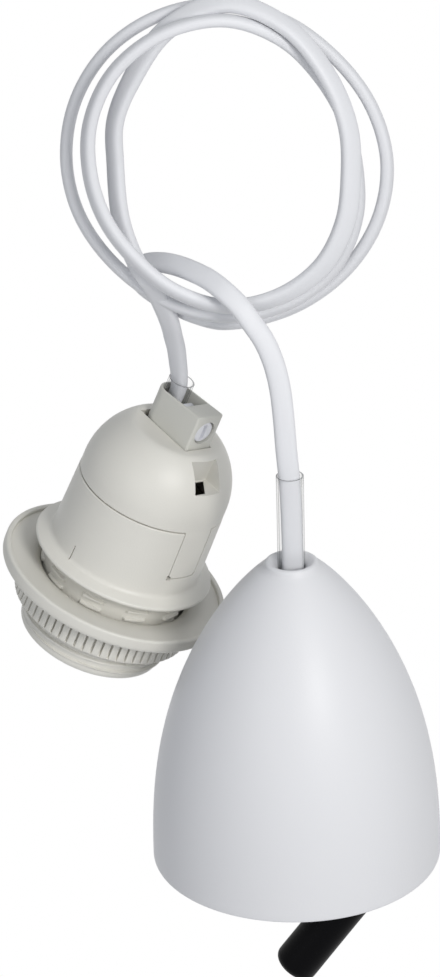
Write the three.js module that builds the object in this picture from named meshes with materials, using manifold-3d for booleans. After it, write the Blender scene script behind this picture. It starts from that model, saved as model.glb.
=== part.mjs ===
// A pendant cord set: a white ceiling canopy and a threaded lamp holder on one flat cord.
// The cord is wound into a loose coil of three turns and the set hangs from the top of the coil,
// which is the origin. Millimetres, +Z up, +X to the right, +Y away from the viewer.

import * as THREE from 'three';
import { mergeVertices } from 'three/addons/utils/BufferGeometryUtils.js';
import Module from 'manifold-3d';

const wasm = await Module();
wasm.setup();

const degrees = Math.PI / 180;

// Clearances
const runningGap = 0.4;          // a loose or sliding fit, on the radius
const seatGap = 0.3;             // between pieces that rest face to face
const cordFit = 0.35;            // between the cord's edges and its sleeve
const past = 1;                  // how far a cutting shape reaches beyond what it cuts

// Steps round a full circle
const roundSteps = 36;
const smallSteps = 12;
const sleeveSteps = 24;

// Cord: flat, twin core; its solid is a round tube between the cord's thickness and its width
const cordWidth = 5.5;
const cordSolidDiameter = 4.0;
const cordSteps = 84;
const coilCentreX = -1.7;
const coilCentreZ = -36.4;
const stationsPerTurn = 8;
// Distance from the coil's middle and place in depth, every eighth of a turn, from the left over the top
const coilStations = [
  [27.6, 1.0], [32.6, 0.0], [42.8, -0.3], [36.0, -6.0], [31.3, -8.0], [34.4, -8.0],
  [35.8, -6.5], [32.4, -6.0], [33.8, -6.0], [38.6, -6.5], [39.4, -3.7], [33.0, 0.5],
  [32.9, -1.5], [39.1, -1.0], [41.6, 0.5], [40.7, 6.0], [40.1, 6.0], [40.7, 6.5],
  [40.4, 5.5], [38.6, 3.0], [40.7, 2.0], [43.1, 4.0], [46.3, 7.0],
];
// From the lamp holder's grip up to the first station
const holderLead = [
  [-17.2, 20.5, -115.2], [-15.7, 20.2, -111.3], [-13.9, 19.7, -106.4], [-13.7, 18.8, -102.3],
  [-14.0, 17.6, -98.1], [-14.4, 15.8, -93.6], [-15.1, 13.5, -89.2], [-15.8, 10.5, -84.6],
  [-16.9, 7.0, -79.6], [-18.6, 2.6, -73.4], [-20.3, -0.2, -68.8], [-22.5, -1.6, -65.1],
  [-25.5, -1.8, -59.0], [-28.2, -0.5, -50.0],
];
// From the last station round behind the other turns, forward through the coil and down to the canopy
const canopyLead = [
  [-9.7, 8.5, -81.3], [-15.4, 10.0, -78.8], [-20.2, 11.5, -76.0], [-24.0, 12.5, -73.6],
  [-25.6, 13.0, -70.3], [-24.3, 12.0, -67.0], [-21.2, 9.5, -65.2], [-17.4, 6.0, -64.4],
  [-13.4, 1.5, -63.4], [-9.6, -3.5, -63.0], [-5.6, -8.0, -63.4], [-1.7, -11.5, -65.3],
  [2.0, -13.2, -69.4], [5.0, -14.5, -73.3], [8.0, -15.8, -77.5], [10.3, -17.2, -82.5],
  [12.1, -18.6, -88.8], [13.5, -19.9, -96.3], [14.5, -20.8, -105.6], [15.2, -21.0, -117.0],
  [15.8, -21.0, -140.0], [16.2, -21.0, -158.1],
];

// Canopy: a bell cup with its rim down, slid on the cord's clear sleeve
const canopyPlace = [17.4, -21.0, -222.1];
const canopyLean = 1.4 * degrees;
const canopyRimRadius = 38.0;
const canopyHeight = 87.0;
const canopyWall = 1.8;
const canopyTopWall = 2.7;
const canopyLipRadius = 5.4;
const canopyCurve = 2.4;         // how long the side stays steep above the rim
const canopyShoulder = 0.88;     // how straight the side runs up to the lip
const canopyRimRound = 0.7;
const canopySteps = 12;

// Clear sleeves
const sleeveWall = 0.45;
const sleeveRadius = cordWidth / 2 + cordFit + sleeveWall;
const canopySleeveTop = 109.5;   // above the canopy's rim
const canopySleeveLength = 43.0;
const holderSleeveTop = 78.6;
const holderSleeveLength = 11.0;

// Insulating boot over the terminal block, with its closed end down
const bootPlace = [-2.0, -16.0, -27.0];
const bootLean = 36.2 * degrees;
const bootRadius = 5.85;
const bootWall = 0.9;
const bootLength = 38.0;
const bootEndRound = 2.6;
const bootFloor = 1.6;

// Terminal block inside the boot
const blockLength = 15.0;
const blockWidth = 7.6;
const blockDepth = 5.6;
const blockSeat = bootFloor + seatGap;
const poleSpacing = 3.8;
const terminalTubeRadius = 1.1;
const terminalTubeBore = 0.6;
const terminalScrewRadius = 0.8;
const terminalScrewLength = 1.3;
const terminalScrewSpacing = 8.0;
const terminalSlot = 0.4;

// Insulated wires
const wireRadius = 1.1;
const wireSteps = 14;
const wireSides = 6;
const wireSpacing = 2.7;
const wireStart = 63.6;
const wireStraight = 5.0;
// From the canopy's top round to the boot: places, and the direction in which the two wires lie apart
const canopyWireWay = [
  { place: [8.0, -4.0, 44.0], apart: [0.7, 0, 0.7] },
  { place: [19.0, -9.0, 33.0], apart: [0.75, 0, 0.65] },
  { place: [25.0, -13.0, 22.0], apart: [1, 0, 0.2] },
];
const wireAboveBoot = 8.0;
const wireInBoot = 4.0;

// Lamp holder. Heights run up along its own axis, and X is the side of the clamp screw
const holderPlace = [-37.7, 22.6, -179.0];
const holderLean = 20.8 * degrees;
const holderNod = 4.8 * degrees;
const holderTurn = -46.0 * degrees;
const barrelRadius = 19.9;
const barrelWall = 1.8;
const barrelLow = -2.2;
const barrelEndRound = 1.8;
const mouthRadius = barrelRadius - 4.7;
const mouthLip = 5.7;
const threadCrest = 0.5;
const threadPitch = 2.5;
const threadRows = 9;
const threadStart = 1.1;
const threadProfile = [[0, 0], [0.4, 1], [0.8, 0]];   // share of the pitch, share of the crest
const threadColumns = 10;
const threadColumnTurn = 11 * degrees;
const neckRadius = barrelRadius + threadCrest + 0.2;   // cone under the flange, as wide as the thread
const neckHeight = 0.9;
const flangeUnder = 24.6;
const flangeRadius = barrelRadius + 4.9;
const flangeEdge = 1.3;
const flangeFillet = 1.6;
const skirtFoot = 28.0;
const skirtFootRadius = barrelRadius + 1.0;
const skirtTopRadius = barrelRadius + 0.5;
const skirtTop = 47.0;
const collarHeight = 4.0;
const collarWall = 1.2;
const tongueWidth = 9.4;
const tongueLow = 32.9;
const slitWidth = 0.7;
const slitLow = 26.8;
const slitHigh = 31.3;

// Cap
const capRadius = barrelRadius + 0.4;
const capWall = 1.8;
const domeCentre = skirtTop + 2.9;
const crownRadius = 12.1;   // the dome's flat top
const capTop = domeCentre + Math.sqrt(capRadius ** 2 - crownRadius ** 2);
const domeSteps = 7;
const recessLow = 58.2;
const recessHigh = 64.7;
const recessWidth = 8.8;
const recessFloor = capRadius - 7.6;
const recessWall = 1.3;
const peepWidth = 2.3;
const peepHeight = 2.7;

// Cord grip: a block through the dome, with a pocket for the cord, a shoe and a clamp screw
const gripLow = 58.6;
const gripTop = 76.6;
const gripBack = -9.6;
const gripFace = 8.7;
const gripWidth = 9.2;
const gripWall = 0.75;
const pocketEnd = 2.7;
const cordSeat = gripBack + gripWidth / 2;
const gripFootHeight = 1.6;
const gripFootSpread = 1.6;
const clampScrewHeight = 71.2;
const clampScrewHeadRadius = 3.1;
const clampScrewHeadLength = 1.5;
const clampScrewRadius = 1.3;
const clampScrewSink = 0.5;
const clampScrewTurn = -8 * degrees;
const clampSlot = 1.1;
const shoeThickness = 1.4;
const shoeWidth = 5.0;
const shoeHeight = 6.4;

// Shade ring: a dished flange on a ribbed grip, threaded on the barrel
const ringBoreRadius = barrelRadius + threadCrest + runningGap;
const ringHoleRadius = ringBoreRadius + 0.9;
const ringHoleHeight = 18.3;
const ribCrestRadius = ringBoreRadius + 3.8;
const ringLipInner = ribCrestRadius + 5.0;
const ringLipSlope = 0.4;
const ringRadius = ringLipInner + 1.6;
const ringLipTop = 19.5;
const ringLipRound = 0.6;
const ringDishEdge = 18.5;
const ringUnder = 15.4;
const ringUnderRound = 1.6;
const ringLow = 7.0;
const ribCount = 64;
const ribDepth = 0.9;
const ribProfile = [[0, 0], [0.5, 0], [0.75, 1]];   // share of the pitch, share of the depth

// Socket inside the barrel
const coreRadius = barrelRadius - barrelWall - runningGap;
const coreLow = mouthLip + seatGap;
const coreFloor = 33.0;
const coreTop = 42.0;
const shellRadius = 13.9;
const shellWall = 0.6;
const shellLow = coreLow + 2.0;
const shellTop = 31.6;
const shellPitch = 3.63;
const shellWave = 0.35;
const shellRows = 15;
const shellSides = 24;
const contactWidth = 5.0;
const contactThickness = 0.5;
const contactFoot = [6.0, 1.5];  // the flat part, from its end to the first bend
const contactTip = [-3.5, 3.4];  // the lowest point: place across, drop below the floor
const contactTail = [-6.5, 2.4];
const contactHoleRadius = 1.5;
const terminalLength = 6.0;
const terminalWidth = 4.4;
const terminalHeight = 3.6;
const terminalSpread = coreRadius - 0.7;
const holderScrewRadius = 1.5;
const holderScrewHeight = 1.4;
const holderSlot = 0.5;
const holderWireTop = 66.5;
const holderWireBend = [-7.0, 4.0, 52.0];   // towards the terminal; the second value is to either side
const holderWireTurn = [-9.5, 1.0];         // where it turns in: place, height above the terminal's middle
const holderWireIn = 0.5;

// Turn a triangle geometry into a solid that can be cut and joined.
function solidOf(geometry) {
  const bare = geometry.index ? geometry.toNonIndexed() : geometry.clone();
  bare.deleteAttribute('normal');
  bare.deleteAttribute('uv');
  const merged = mergeVertices(bare, 1e-4);
  return new wasm.Manifold(new wasm.Mesh({
    numProp: 3,
    vertProperties: new Float32Array(merged.attributes.position.array),
    triVerts: new Uint32Array(merged.index.array),
  }));
}

// Turn a solid back into a triangle geometry.
function geometryOf(solid) {
  const mesh = solid.getMesh();
  const geometry = new THREE.BufferGeometry();
  geometry.setAttribute('position', new THREE.BufferAttribute(new Float32Array(mesh.vertProperties), 3));
  geometry.setIndex(new THREE.BufferAttribute(new Uint32Array(mesh.triVerts), 1));
  geometry.computeVertexNormals();
  return geometry;
}

// A body of revolution about Z from a profile of [radius, height], drawn up the outside first.
function turned(profile, steps = roundSteps) {
  const points = profile.map(([radius, height]) => new THREE.Vector2(radius, height));
  return new THREE.LatheGeometry(points, steps).rotateX(Math.PI / 2);
}

// A round tube about Z.
function tube(outer, inner, low, high, steps = smallSteps) {
  return turned([[inner, low], [outer, low], [outer, high], [inner, high], [inner, low]], steps);
}

// A plain rod about Z.
function rod(radius, low, high, steps = smallSteps) {
  return turned([[0, low], [radius, low], [radius, high], [0, high]], steps);
}

// A box from its lowest to its highest corner.
function block(low, high) {
  const size = high.map((value, i) => value - low[i]);
  const box = new THREE.BoxGeometry(...size);
  return box.translate(...low.map((value, i) => value + size[i] / 2));
}

// Points along an arc in a profile.
function arc(centreRadius, centreHeight, radius, from, to, steps) {
  return Array.from({ length: steps + 1 }, (_, i) => {
    const angle = (from + (to - from) * i / steps) * degrees;
    return [centreRadius + radius * Math.cos(angle), centreHeight + radius * Math.sin(angle)];
  });
}

// A tube of round section along a smooth curve through the points.
function alongPath(points, radius, steps, sides = 8) {
  const corners = Array.from({ length: sides }, (_, i) => {
    const angle = 2 * Math.PI * i / sides;
    return new THREE.Vector2(radius * Math.cos(angle), radius * Math.sin(angle));
  });
  const places = points.map((point) => new THREE.Vector3(...point));
  const extrudePath = new THREE.CatmullRomCurve3(places, false, 'centripetal');
  return new THREE.ExtrudeGeometry(new THREE.Shape(corners), { steps, bevelEnabled: false, extrudePath });
}

function material(color, roughness, metalness = 0) {
  return new THREE.MeshStandardMaterial({ color, roughness, metalness });
}

const canopyWhite = material(0xdedfe3, 0.6);
const cordWhite = material(0xd8d9de, 0.4);
const clearPlastic = material(0xe4e8ea, 0.15);
const holderPlastic = material(0xd9d7d0, 0.5);
const gripPlastic = material(0xb2b2aa, 0.5);
const screwPlastic = material(0xe2e3e8, 0.35);
const bootBlack = material(0x0b0b0d, 0.45);
const blockPlastic = material(0xe8e6df, 0.5);
const coreCeramic = material(0xe9e6dc, 0.45);
const brass = material(0xb99a52, 0.3, 1);
const steel = material(0xb8babd, 0.35, 1);
const liveWire = material(0x6b4128, 0.5);
const neutralWire = material(0x2f5fa8, 0.5);

function piece(name, geometry, look) {
  const mesh = new THREE.Mesh(geometry, look);
  mesh.name = name;
  return mesh;
}

// Radius of the canopy's outside at a share of its height, and of its inside with a smaller rim.
function bellRadius(share, rimRadius, lipRadius) {
  return lipRadius + (rimRadius - lipRadius) * (1 - share ** canopyCurve) ** canopyShoulder;
}

function canopy() {
  const holeRadius = sleeveRadius + runningGap;
  const lipRound = (canopyLipRadius - holeRadius) / 2;
  const innerHeight = canopyHeight - canopyTopWall;
  const shares = Array.from({ length: canopySteps + 1 }, (_, i) => i / canopySteps);
  const outside = shares.slice(1).map((share) => [
    bellRadius(share, canopyRimRadius, canopyLipRadius), share * (canopyHeight - lipRound)]);
  const inside = shares.slice(1).map((share) => [
    bellRadius(share, canopyRimRadius - canopyWall, holeRadius), share * innerHeight]).reverse();
  const rim = arc(canopyRimRadius - canopyRimRound, canopyRimRound, canopyRimRound, -90, 0, 4);
  const lip = arc(canopyLipRadius - lipRound, canopyHeight - lipRound, lipRound, 0, 180, 4).slice(1);
  const rimInner = [canopyRimRadius - canopyWall, 0];
  return turned([...rim, ...outside, ...lip, ...inside, rimInner, rim[0]]);
}

function boot() {
  const bore = bootRadius - bootWall;
  return turned([
    [0, 0],
    ...arc(bootRadius - bootEndRound, bootEndRound, bootEndRound, -90, 0, 5),
    [bootRadius, bootLength],
    [bore, bootLength],
    [bore, bootFloor],
    [0, bootFloor],
  ], sleeveSteps);
}

function terminalBlock() {
  let body = solidOf(block([-blockWidth / 2, -blockDepth / 2, blockSeat],
    [blockWidth / 2, blockDepth / 2, blockSeat + blockLength]));
  const middle = blockSeat + blockLength / 2;
  for (const side of [-1, 1]) {
    const bore = rod(terminalTubeRadius + seatGap, blockSeat - past, blockSeat + blockLength + past);
    body = body.subtract(solidOf(bore.translate(side * poleSpacing / 2, 0, 0)));
    for (const end of [-1, 1]) {
      const hole = rod(terminalScrewRadius + seatGap, 0, blockDepth).rotateX(Math.PI / 2);
      const height = middle + end * terminalScrewSpacing / 2;
      body = body.subtract(solidOf(hole.translate(side * poleSpacing / 2, 0, height)));
    }
  }
  return geometryOf(body);
}

// Cut a screwdriver slot, as deep as it is wide, across the top of a round screw on Z.
function slotted(screw, radius, top, width) {
  const slot = block([-radius - past, -width / 2, top - width], [radius + past, width / 2, top + past]);
  return geometryOf(solidOf(screw).subtract(solidOf(slot)));
}

// The skirt: threaded barrel, flange, drafted wall with a notch for the cap's tongue, and a collar.
function skirt() {
  const inner = barrelRadius - barrelWall;
  const collarRadius = capRadius - capWall - seatGap;
  let body = solidOf(turned([
    [mouthRadius, barrelLow],
    ...arc(barrelRadius - barrelEndRound, barrelLow + barrelEndRound, barrelEndRound, -90, 0, 3),
    [barrelRadius, flangeUnder - neckHeight],
    [neckRadius, flangeUnder],
    ...arc(flangeRadius - flangeEdge / 2, flangeUnder + flangeEdge / 2, flangeEdge / 2, -90, 60, 3),
    ...arc(skirtFootRadius + flangeFillet, skirtFoot, flangeFillet, 245, 180, 2),
    [skirtTopRadius, skirtTop],
    [collarRadius, skirtTop],
    [collarRadius, skirtTop + collarHeight],
    [collarRadius - collarWall, skirtTop + collarHeight],
    [collarRadius - collarWall, skirtTop - collarWall],
    [inner, skirtTop - collarWall * 2],
    [inner, mouthLip],
    [mouthRadius, mouthLip],
    [mouthRadius, barrelLow],
  ]));
  body = body.add(threadRibs());
  const notchSide = tongueWidth / 2 + seatGap;
  const notchTop = skirtTop + collarHeight + past;
  const notch = block([0, -notchSide, tongueLow - seatGap], [flangeRadius, notchSide, notchTop]);
  body = body.subtract(solidOf(notch));
  for (const turn of [0, Math.PI]) {
    const slit = block([-slitWidth / 2, 0, slitLow], [slitWidth / 2, flangeRadius, slitHigh]);
    body = body.subtract(solidOf(slit.rotateZ(turn)));
  }
  return geometryOf(body);
}

// Interrupted thread: crests stand only on evenly spaced columns round the barrel.
function threadRibs() {
  const root = barrelRadius - barrelWall / 2;
  const reach = 2 * (barrelRadius + threadCrest);
  const sector = Math.PI / threadColumns;
  let ribs = null;
  for (let row = 0; row < threadRows; row += 1) {
    const low = threadStart + row * threadPitch;
    const tooth = threadProfile.map(([share, height]) => [
      barrelRadius + height * threadCrest, low + share * threadPitch]);
    const high = tooth[tooth.length - 1][1];
    const ring = solidOf(turned([[root, low], ...tooth, [root, high], [root, low]]));
    ribs = ribs ? ribs.add(ring) : ring;
  }
  let columns = null;
  for (let column = 0; column < threadColumns; column += 1) {
    const angle = threadColumnTurn + 2 * column * sector;
    const corner = (turn) => new THREE.Vector2(reach * Math.cos(turn), reach * Math.sin(turn));
    const corners = [new THREE.Vector2(0, 0), corner(angle - sector / 2), corner(angle + sector / 2)];
    const wedge = { depth: flangeUnder, bevelEnabled: false };
    const prism = solidOf(new THREE.ExtrudeGeometry(new THREE.Shape(corners), wedge));
    columns = columns ? columns.add(prism) : prism;
  }
  return ribs.intersect(columns);
}

// The cap: a domed shell with the grip's opening, the release recess and a tongue down into the skirt.
function cap() {
  const inner = capRadius - capWall;
  const low = skirtTop + seatGap;
  const ceiling = capTop - capWall;
  const crown = (radius, top) => Math.asin((top - domeCentre) / radius) / degrees;
  const dome = arc(0, domeCentre, capRadius, 0, crown(capRadius, capTop), domeSteps);
  const hollow = arc(0, domeCentre, inner, crown(inner, ceiling), 0, domeSteps);
  const outside = [[capRadius, low], ...dome, [0, capTop]];
  const inside = [[0, ceiling], ...hollow, [inner, low]];
  let body = solidOf(turned([[inner, low], ...outside, ...inside]));
  const full = solidOf(turned([[0, low], ...outside]));
  const half = recessWidth / 2;
  const liner = block([recessFloor - recessWall, -half - recessWall, recessLow - recessWall],
    [capRadius, half + recessWall, recessHigh + recessWall]);
  body = body.add(solidOf(liner).intersect(full));
  body = body.subtract(solidOf(block([recessFloor, -half, recessLow], [capRadius + past, half, recessHigh])));
  const peep = block([recessFloor - recessWall - past, -half, recessLow],
    [recessFloor + past, -half + peepWidth, recessLow + peepHeight]);
  body = body.subtract(solidOf(peep));
  const openingSide = gripWidth / 2 + seatGap;
  const opening = block([gripBack - seatGap, -openingSide, gripLow], [gripFace + seatGap, openingSide, gripTop]);
  body = body.subtract(solidOf(opening));
  const root = low + past;
  const tongueWall = turned([[inner, tongueLow], [skirtFootRadius, tongueLow], [skirtTopRadius, skirtTop],
    [capRadius, root], [inner, root], [inner, tongueLow]]);
  const tongueHalf = tongueWidth / 2;
  const tongueSide = block([0, -tongueHalf, tongueLow - past], [flangeRadius, tongueHalf, root + past]);
  body = body.add(solidOf(tongueWall).intersect(solidOf(tongueSide)));
  return geometryOf(body);
}

// An upright block with a square end at +X and a round end about the cord's seat.
function roundEnded(face, half, height) {
  const shape = new THREE.Shape();
  shape.moveTo(face, -half);
  shape.lineTo(face, half);
  shape.lineTo(cordSeat, half);
  shape.absarc(cordSeat, 0, half, Math.PI / 2, Math.PI * 1.5, false);
  return new THREE.ExtrudeGeometry(shape, { depth: height, bevelEnabled: false, curveSegments: 10 });
}

function cordGrip() {
  const footLow = gripLow - gripFootHeight;
  const half = gripWidth / 2;
  const trunk = roundEnded(gripFace, half, gripTop - footLow).translate(0, 0, footLow);
  const foot = roundEnded(gripFace + gripFootSpread, half + gripFootSpread, gripFootHeight);
  const pocket = roundEnded(pocketEnd, half - gripWall, gripTop - footLow + 2 * past);
  let body = solidOf(trunk).add(solidOf(foot.translate(0, 0, footLow)));
  body = body.subtract(solidOf(pocket.translate(0, 0, footLow - past)));
  const sunk = clampScrewSink + clampScrewHeadLength + seatGap;
  const head = rod(clampScrewHeadRadius + seatGap, 0, sunk + past);
  const bore = rod(clampScrewRadius + seatGap, pocketEnd - gripFace, past);
  for (const cut of [head, bore]) {
    body = body.subtract(solidOf(cut.rotateY(Math.PI / 2).translate(gripFace - sunk, 0, clampScrewHeight)));
  }
  return geometryOf(body);
}

// Outline of the ribbed grip, one trapezoid rib after another.
function ribbedOutline() {
  const outline = new THREE.Shape();
  for (let rib = 0; rib < ribCount; rib += 1) {
    const step = 2 * Math.PI / ribCount;
    ribProfile.forEach(([share, sink], corner) => {
      const radius = ribCrestRadius - sink * ribDepth;
      const angle = (rib + share) * step;
      const place = [radius * Math.cos(angle), radius * Math.sin(angle)];
      if (rib === 0 && corner === 0) outline.moveTo(...place);
      else outline.lineTo(...place);
    });
  }
  return outline;
}

function shadeRing() {
  const gripHeight = ringUnder + past - ringLow;
  const grip = new THREE.ExtrudeGeometry(ribbedOutline(), { depth: gripHeight, bevelEnabled: false });
  const flange = turned([
    [0, ringUnder],
    ...arc(ringRadius - ringUnderRound, ringUnder + ringUnderRound, ringUnderRound, -90, 0, 3),
    ...arc(ringRadius - ringLipRound, ringLipTop - ringLipRound, ringLipRound, 0, 90, 2),
    [ringLipInner + ringLipSlope, ringLipTop],
    [ringLipInner, ringDishEdge],
    [ringHoleRadius, ringHoleHeight],
    [0, ringHoleHeight],
  ]);
  const bore = turned([
    [0, ringLow - past],
    [ringBoreRadius, ringLow - past],
    [ringBoreRadius, ringHoleHeight - (ringHoleRadius - ringBoreRadius)],
    [ringHoleRadius + past, ringHoleHeight + past],
    [0, ringHoleHeight + past],
  ]);
  return geometryOf(solidOf(grip.translate(0, 0, ringLow)).add(solidOf(flange)).subtract(solidOf(bore)));
}

// The socket core: a cup for the screw shell, with a floor that carries the terminals.
function socketCore() {
  const bore = shellRadius + seatGap;
  const body = solidOf(turned([
    [bore, coreLow],
    [coreRadius, coreLow],
    [coreRadius, coreTop],
    [0, coreTop],
    [0, coreFloor],
    [bore, coreFloor],
    [bore, coreLow],
  ]));
  const hole = rod(contactHoleRadius, coreFloor - past, coreTop + past);
  return geometryOf(body.subtract(solidOf(hole.translate(contactFoot[0] - past, 0, 0))));
}

// The screw shell: a thin tube rolled to the round thread of a lamp cap.
function screwShell() {
  const outside = [];
  const inside = [];
  for (let i = 0; i <= shellRows; i += 1) {
    const height = shellLow + (shellTop - shellLow) * i / shellRows;
    const wave = shellWave * (Math.cos(2 * Math.PI * height / shellPitch) - 1) / 2;
    outside.push([shellRadius + wave, height]);
    inside.push([shellRadius + wave - shellWall, height]);
  }
  return turned([...outside, ...inside.reverse(), outside[0]], shellSides);
}

// The centre contact: a sprung strip under the core's floor, bent down to meet the lamp.
function centreContact() {
  const under = coreFloor - seatGap;
  const strip = new THREE.Shape([
    [contactFoot[0], under],
    [contactFoot[0], under - contactThickness],
    [contactFoot[1], under - contactThickness],
    [contactTip[0], under - contactTip[1]],
    [contactTail[0], under - contactTail[1]],
    [contactTail[0], under - contactTail[1] + contactThickness],
    [contactTip[0], under - contactTip[1] + contactThickness],
    [contactFoot[1], under],
  ].map(([x, z]) => new THREE.Vector2(x, z)));
  return new THREE.ExtrudeGeometry(strip, { depth: contactWidth, bevelEnabled: false })
    .rotateX(Math.PI / 2).translate(0, contactWidth / 2, 0);
}

function holderTerminal(side) {
  const low = coreTop + seatGap;
  const centre = side * terminalSpread / 2;
  const body = solidOf(block([-terminalLength / 2, centre - terminalWidth / 2, low],
    [terminalLength / 2, centre + terminalWidth / 2, low + terminalHeight]));
  const bore = rod(wireRadius + seatGap, -terminalLength, 0).rotateY(Math.PI / 2);
  return geometryOf(body.subtract(solidOf(bore.translate(0, centre, low + terminalHeight / 2))));
}

// Stations round the coil become route points, two for each station, by a smooth curve through them.
function coilPoints() {
  const spline = new THREE.CatmullRomCurve3(
    coilStations.map(([radius, depth], i) => new THREE.Vector3(radius, depth, i)), false, 'catmullrom', 0.5);
  const count = 2 * (coilStations.length - 1);
  return Array.from({ length: count + 1 }, (_, i) => {
    const [radius, depth] = spline.getPoint(i / count).toArray();
    const angle = i / 2 * 2 * Math.PI / stationsPerTurn;
    return [coilCentreX - radius * Math.cos(angle), depth, coilCentreZ + radius * Math.sin(angle)];
  });
}

const pendantCordSet = new THREE.Group();

// Cord
const cordRoute = [...holderLead, ...coilPoints(), ...canopyLead];
pendantCordSet.add(piece('cord', alongPath(cordRoute, cordSolidDiameter / 2, cordSteps), cordWhite));

// Canopy, its sleeve and what hangs inside it
const canopyGroup = new THREE.Group();
canopyGroup.position.set(...canopyPlace);
canopyGroup.rotation.y = -canopyLean;
canopyGroup.add(piece('canopy', canopy(), canopyWhite));
canopyGroup.add(piece('canopy_sleeve', tube(sleeveRadius, sleeveRadius - sleeveWall,
  canopySleeveTop - canopySleeveLength, canopySleeveTop, sleeveSteps), clearPlastic));

const bootGroup = new THREE.Group();
bootGroup.position.set(...bootPlace);
bootGroup.rotation.y = bootLean;
bootGroup.add(piece('terminal_boot', boot(), bootBlack));
bootGroup.add(piece('terminal_block', terminalBlock(), blockPlastic));
for (const [name, side] of [['live', -1], ['neutral', 1]]) {
  const pole = side * poleSpacing / 2;
  const sleeve = tube(terminalTubeRadius, terminalTubeBore, blockSeat, blockSeat + blockLength);
  bootGroup.add(piece(`${name}_terminal_tube`, sleeve.translate(pole, 0, 0), brass));
  for (const [end, label] of [[-1, 'lower'], [1, 'upper']]) {
    const screw = slotted(rod(terminalScrewRadius, 0, terminalScrewLength), terminalScrewRadius,
      terminalScrewLength, terminalSlot).rotateX(Math.PI / 2);
    const height = blockSeat + blockLength / 2 + end * terminalScrewSpacing / 2;
    const seat = -(terminalTubeRadius + seatGap);
    bootGroup.add(piece(`${name}_${label}_terminal_screw`, screw.translate(pole, seat, height), steel));
  }
}
canopyGroup.add(bootGroup);

bootGroup.updateMatrix();
for (const [name, side, look] of [['live', -1, liveWire], ['neutral', 1, neutralWire]]) {
  const pole = side * poleSpacing / 2;
  const inBoot = (height) => new THREE.Vector3(pole, 0, height).applyMatrix4(bootGroup.matrix).toArray();
  const start = side * wireSpacing / 2;
  const route = [
    [start, 0, wireStart],
    [start, 0, wireStart - wireStraight],
    ...canopyWireWay.map(({ place, apart }) => place.map((value, i) => value + start * apart[i])),
    inBoot(bootLength + wireAboveBoot),
    inBoot(bootLength - wireInBoot),
    inBoot(blockSeat + blockLength + seatGap),
  ];
  canopyGroup.add(piece(`canopy_${name}_wire`, alongPath(route, wireRadius, wireSteps, wireSides), look));
}
pendantCordSet.add(canopyGroup);

// Lamp holder
const holderGroup = new THREE.Group();
holderGroup.position.set(...holderPlace);
holderGroup.rotation.set(holderNod, holderLean, holderTurn, 'YXZ');
holderGroup.add(piece('skirt', skirt(), holderPlastic));
holderGroup.add(piece('cap', cap(), holderPlastic));
holderGroup.add(piece('cord_grip', cordGrip(), gripPlastic));
holderGroup.add(piece('shade_ring', shadeRing(), holderPlastic));
holderGroup.add(piece('socket_core', socketCore(), coreCeramic));
holderGroup.add(piece('screw_shell', screwShell(), brass));
holderGroup.add(piece('centre_contact', centreContact(), brass));

// The cord and its sleeve lie in the round end of the grip's pocket, and the shoe presses on them.
const holderSleeve = tube(sleeveRadius, sleeveRadius - sleeveWall, holderSleeveTop - holderSleeveLength,
  holderSleeveTop, sleeveSteps);
holderGroup.add(piece('holder_sleeve', holderSleeve.translate(cordSeat, 0, 0), clearPlastic));

const shoeBack = cordSeat + sleeveRadius + seatGap + shoeThickness;
const screwTip = shoeBack + seatGap;
const headSeat = gripFace - clampScrewSink - clampScrewHeadLength;
const shankLength = headSeat - screwTip;
const clampScrewTop = shankLength + clampScrewHeadLength;
const clampScrewBody = turned([
  [0, 0],
  [clampScrewRadius, 0],
  [clampScrewRadius, shankLength],
  [clampScrewHeadRadius, shankLength],
  [clampScrewHeadRadius, clampScrewTop],
  [0, clampScrewTop],
], smallSteps);
const clampScrew = slotted(clampScrewBody, clampScrewHeadRadius, clampScrewTop, clampSlot);
clampScrew.rotateZ(clampScrewTurn).rotateY(Math.PI / 2).translate(screwTip, 0, clampScrewHeight);
holderGroup.add(piece('clamp_screw', clampScrew, screwPlastic));

holderGroup.add(piece('clamp_shoe', block(
  [shoeBack - shoeThickness, -shoeWidth / 2, clampScrewHeight - shoeHeight / 2],
  [shoeBack, shoeWidth / 2, clampScrewHeight + shoeHeight / 2]), screwPlastic));

for (const [name, side, look] of [['live', -1, liveWire], ['neutral', 1, neutralWire]]) {
  holderGroup.add(piece(`holder_${name}_terminal`, holderTerminal(side), brass));
  const screwBody = rod(holderScrewRadius, 0, holderScrewHeight);
  const screw = slotted(screwBody, holderScrewRadius, holderScrewHeight, holderSlot);
  screw.translate(0, side * terminalSpread / 2, coreTop + 2 * seatGap + terminalHeight);
  holderGroup.add(piece(`holder_${name}_terminal_screw`, screw, steel));
  const wireHeight = coreTop + seatGap + terminalHeight / 2;
  const seat = side * terminalSpread / 2;
  const route = [
    [cordSeat, side * wireSpacing / 2, holderWireTop],
    [cordSeat, side * wireSpacing / 2, holderWireTop - wireStraight],
    [holderWireBend[0], side * holderWireBend[1], holderWireBend[2]],
    [holderWireTurn[0], seat, wireHeight + holderWireTurn[1]],
    [-terminalLength, seat, wireHeight],
    [-terminalLength / 2 + holderWireIn, seat, wireHeight],
  ];
  holderGroup.add(piece(`holder_${name}_wire`, alongPath(route, wireRadius, wireSteps, wireSides), look));
}
pendantCordSet.add(holderGroup);

export default pendantCordSet;
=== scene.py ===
import math
import bmesh
import bpy
import numpy as np
from mathutils import Euler, Matrix, Vector


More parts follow.
